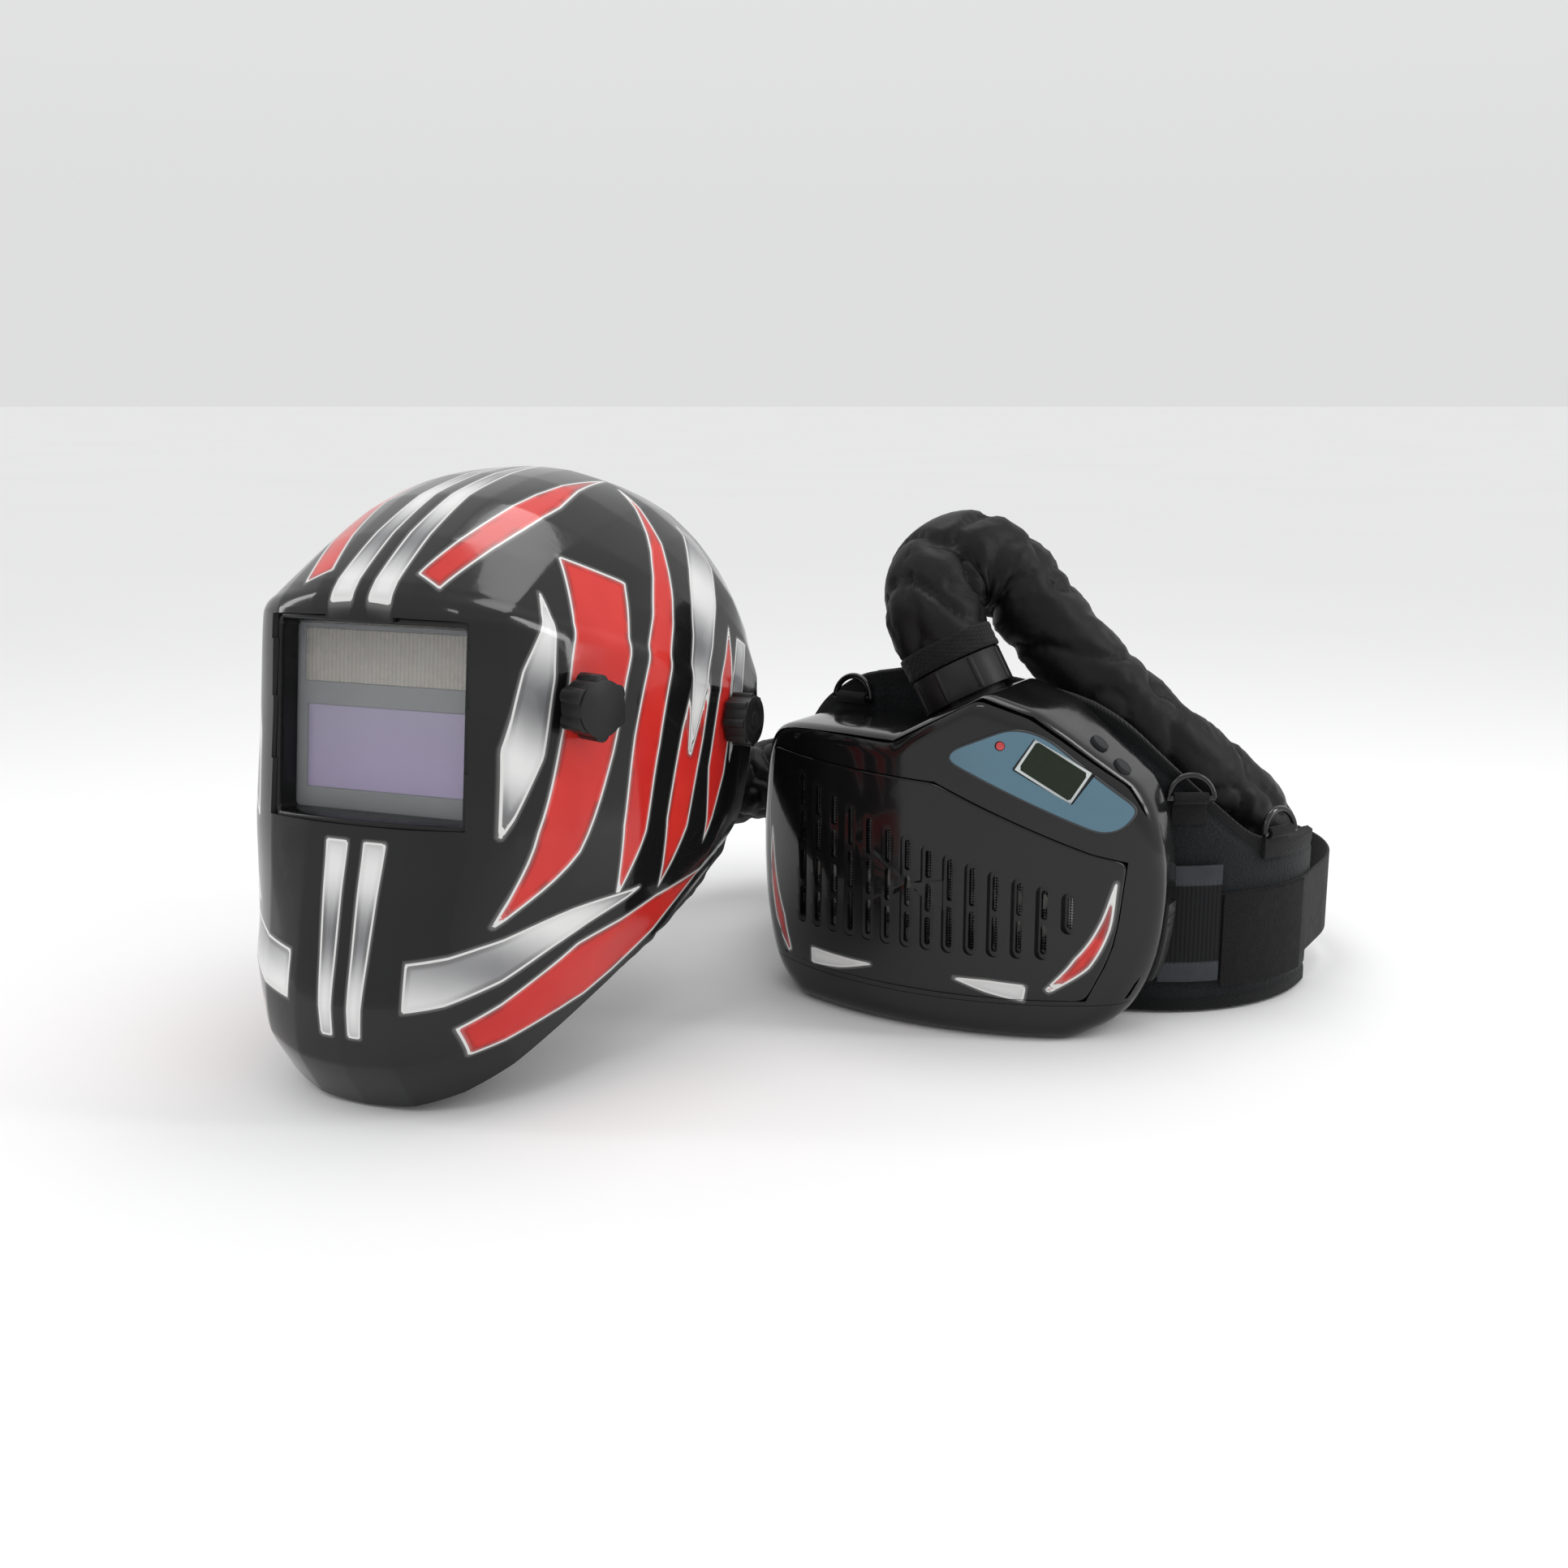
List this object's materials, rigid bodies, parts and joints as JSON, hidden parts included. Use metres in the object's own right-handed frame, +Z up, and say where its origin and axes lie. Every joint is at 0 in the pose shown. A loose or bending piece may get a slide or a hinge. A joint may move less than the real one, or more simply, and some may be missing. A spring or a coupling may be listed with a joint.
{
  "type": "powered air respirator",
  "caption": "Welding helmet with an auto-darkening window on a ratchet headgear, fed through a sleeved hose by a belt-worn filter blower.",
  "frame": {"origin": "on the floor, in the flat foot under the blower case", "axes": "+Z up; -Y is the blower's front, with its louvres; +X is to the right as the blower's front is faced. The helmet stands at -X and faces -Y, turned 9 degrees about +Z."},
  "size_m": [0.5268, 0.6022, 0.3151],
  "materials": {
    "case_black": "gloss moulded",
    "cover_black": "gloss moulded",
    "steel_mesh": "woven mesh",
    "filter_media": "pleated non-woven",
    "rubber_black": "matte",
    "inner_plastic": "moulded",
    "impeller_plastic": "moulded",
    "motor_metal": "turned",
    "circuit_board": "solder mask",
    "display": "glass-fronted liquid crystal",
    "panel_blue": "printed film",
    "led_red": "clear moulded",
    "button_rubber": "matte moulded",
    "cell_wrap": "shrink wrap",
    "contact_brass": "plain",
    "latch_plastic": "moulded, ribbed",
    "screw_steel": "plain",
    "collar_plastic": "moulded, ribbed",
    "sleeve_nylon": "woven nylon, gathered",
    "hose_rubber": "corrugated",
    "cuff_webbing": "elastic webbing",
    "pad_fabric": "spacer fabric with piped edge",
    "webbing": "woven nylon webbing",
    "elastic_ribbed": "ribbed elastic",
    "hook_fabric": "hook and loop",
    "buckle_plastic": "moulded",
    "ring_plastic": "moulded",
    "shell_gloss": "painted decoration in red, silver and black under clear gloss",
    "bezel_black": "satin gloss",
    "lens_clear": "clear polycarbonate",
    "cartridge_grey": "moulded",
    "lens_violet": "coated filter glass",
    "solar_tan": "solar cell film",
    "knob_black": "moulded",
    "button_red": "moulded",
    "seal_fabric": "flame-retardant cloth",
    "headgear_plastic": "moulded nylon",
    "sweatband_foam": "perforated towelling",
    "duct_plastic": "moulded"
  },
  "bodies": {
    "blower_belt_headgear": {"rear_housing": "case_black", "front_housing": "case_black", "spark_arrestor": "steel_mesh", "prefilter": "filter_media", "particle_filter": "filter_media", "filter_gasket": "rubber_black", "inner_chassis": "inner_plastic", "fan_volute": "inner_plastic", "fan_motor": "motor_metal", "outlet_port": "case_black", "control_board": "circuit_board", "display_module": "display", "control_panel": "panel_blue", "alarm_light": "led_red", "battery_contacts": "contact_brass", "belt_plate": "inner_plastic", "housing_screws": "screw_steel", "hose_sleeve": "sleeve_nylon", "breathing_hose": "hose_rubber", "cuff_blower": "cuff_webbing", "cuff_helmet": "cuff_webbing", "waist_pad": "pad_fabric", "webbing_left": "webbing", "webbing_right": "webbing", "belt_panels": "elastic_ribbed", "hook_panels": "hook_fabric", "buckle_female": "buckle_plastic", "d_ring_tabs": "webbing", "headband": "headgear_plastic", "sweatband": "sweatband_foam", "air_duct": "duct_plastic"},
    "filter_cover": {"filter_cover": "cover_black"},
    "impeller": {"impeller": "impeller_plastic"},
    "power_button": {"power_button": "button_rubber"},
    "airflow_button": {"airflow_button": "button_rubber"},
    "battery": {"battery_case": "case_black", "battery_cells": "cell_wrap"},
    "latch_left": {"cover_latch_left": "latch_plastic"},
    "latch_right": {"cover_latch_right": "latch_plastic"},
    "hose_collar": {"hose_collar": "collar_plastic"},
    "buckle_male": {"buckle_male": "buckle_plastic"},
    "d_ring_left": {"d_ring_left": "ring_plastic"},
    "d_ring_middle": {"d_ring_middle": "ring_plastic"},
    "d_ring_right": {"d_ring_right": "ring_plastic"},
    "helmet_shell": {"helmet_shell": "shell_gloss", "lens_bezel": "bezel_black", "cover_lens": "lens_clear", "filter_cartridge": "cartridge_grey", "filter_glass": "lens_violet", "solar_cell": "solar_tan", "shade_pot": "inner_plastic", "face_seal": "seal_fabric"},
    "shade_knob": {"shade_knob": "knob_black"},
    "sensitivity_knob": {"sensitivity_knob": "knob_black"},
    "delay_knob": {"delay_knob": "knob_black"},
    "grind_button": {"grind_button": "button_red"},
    "nape_cradle": {"nape_cradle": "headgear_plastic"},
    "ratchet_knob": {"ratchet_knob": "knob_black"},
    "tension_knob_left": {"tension_knob_left": "knob_black"},
    "tension_knob_right": {"tension_knob_right": "knob_black"}
  },
  "joints": [
    {"name": "helmet_tilt", "type": "hinge", "parent": "blower_belt_headgear", "child": "helmet_shell", "pos_m": [-0.21575, -0.1093, 0.176], "axis": [-0.9877, -0.1564, 0], "range_deg": [0, 55]},
    {"name": "shade_dial", "type": "hinge", "parent": "helmet_shell", "child": "shade_knob", "pos_m": [-0.09477, -0.22538, 0.203], "axis": [0.9781, -0.2079, 0], "range_deg": [0, 270]},
    {"name": "sensitivity_dial", "type": "hinge", "parent": "helmet_shell", "child": "sensitivity_knob", "pos_m": [-0.17311, -0.25069, 0.22068], "axis": [-0.1554, 0.9809, -0.1167], "range_deg": [0, 270]},
    {"name": "delay_dial", "type": "hinge", "parent": "helmet_shell", "child": "delay_knob", "pos_m": [-0.15533, -0.24788, 0.22068], "axis": [-0.1554, 0.9809, -0.1167], "range_deg": [0, 270]},
    {"name": "grind_press", "type": "slide", "parent": "helmet_shell", "child": "grind_button", "axis": [0.1554, -0.9809, 0.1167], "range_m": [0, 0.0012], "stiffness_N_per_m": 400, "springref_m": -0.0005},
    {"name": "nape_slide", "type": "slide", "parent": "blower_belt_headgear", "child": "nape_cradle", "axis": [0.1564, -0.9877, 0], "range_m": [0, 0.02]},
    {"name": "ratchet_turn", "type": "hinge", "parent": "nape_cradle", "child": "ratchet_knob", "pos_m": [-0.2339, 0.00528, 0.145], "axis": [-0.1564, 0.9877, 0], "range_deg": [0, 540]},
    {"name": "tension_left_turn", "type": "hinge", "parent": "blower_belt_headgear", "child": "tension_knob_left", "pos_m": [-0.09229, -0.08974, 0.176], "axis": [0.9877, 0.1564, 0], "continuous": true},
    {"name": "tension_right_turn", "type": "hinge", "parent": "blower_belt_headgear", "child": "tension_knob_right", "pos_m": [-0.33921, -0.12885, 0.176], "axis": [-0.9877, -0.1564, 0], "continuous": true},
    {"name": "filter_cover_pull", "type": "slide", "parent": "blower_belt_headgear", "child": "filter_cover", "axis": [0, -1, 0], "range_m": [0, 0.03]},
    {"name": "latch_left_press", "type": "slide", "parent": "blower_belt_headgear", "child": "latch_left", "axis": [1, 0, 0], "range_m": [0, 0.002], "stiffness_N_per_m": 800, "springref_m": -0.001},
    {"name": "latch_right_press", "type": "slide", "parent": "blower_belt_headgear", "child": "latch_right", "axis": [-1, 0, 0], "range_m": [0, 0.002], "stiffness_N_per_m": 800, "springref_m": -0.001},
    {"name": "battery_pull", "type": "slide", "parent": "blower_belt_headgear", "child": "battery", "axis": [0, -1, 0], "range_m": [0, 0.06]},
    {"name": "impeller_spin", "type": "hinge", "parent": "blower_belt_headgear", "child": "impeller", "pos_m": [-0.022, 0.008, 0.088], "axis": [0, 1, 0], "continuous": true},
    {"name": "power_press", "type": "slide", "parent": "blower_belt_headgear", "child": "power_button", "axis": [-0.6455, 0, -0.7638], "range_m": [0, 0.0012], "stiffness_N_per_m": 400, "springref_m": -0.0005},
    {"name": "airflow_press", "type": "slide", "parent": "blower_belt_headgear", "child": "airflow_button", "axis": [-0.6455, 0, -0.7638], "range_m": [0, 0.0012], "stiffness_N_per_m": 400, "springref_m": -0.0005},
    {"name": "collar_twist", "type": "hinge", "parent": "blower_belt_headgear", "child": "hose_collar", "pos_m": [0.00518, -0.002, 0.19249], "axis": [-0.4848, 0, 0.8746], "range_deg": [0, 30]},
    {"name": "buckle_release", "type": "slide", "parent": "blower_belt_headgear", "child": "buckle_male", "axis": [1, 0, 0], "range_m": [0, 0.019]},
    {"name": "ring_left_swing", "type": "hinge", "parent": "blower_belt_headgear", "child": "d_ring_left", "pos_m": [-0.08132, 0.02451, 0.173], "axis": [0.9925, -0.1219, 0], "range_deg": [0, 75]},
    {"name": "ring_middle_swing", "type": "hinge", "parent": "blower_belt_headgear", "child": "d_ring_middle", "pos_m": [0.12833, 0.04186, 0.13], "axis": [0.8339, 0.5519, 0], "range_deg": [0, 150]},
    {"name": "ring_right_swing", "type": "hinge", "parent": "blower_belt_headgear", "child": "d_ring_right", "pos_m": [0.16762, 0.08802, 0.106], "axis": [0.4115, 0.9114, 0], "range_deg": [0, 150]}
  ],
  "couplings": [
    {"joint": "ratchet_turn", "follows": "nape_slide", "rad_per_m": 471.24}
  ]
}
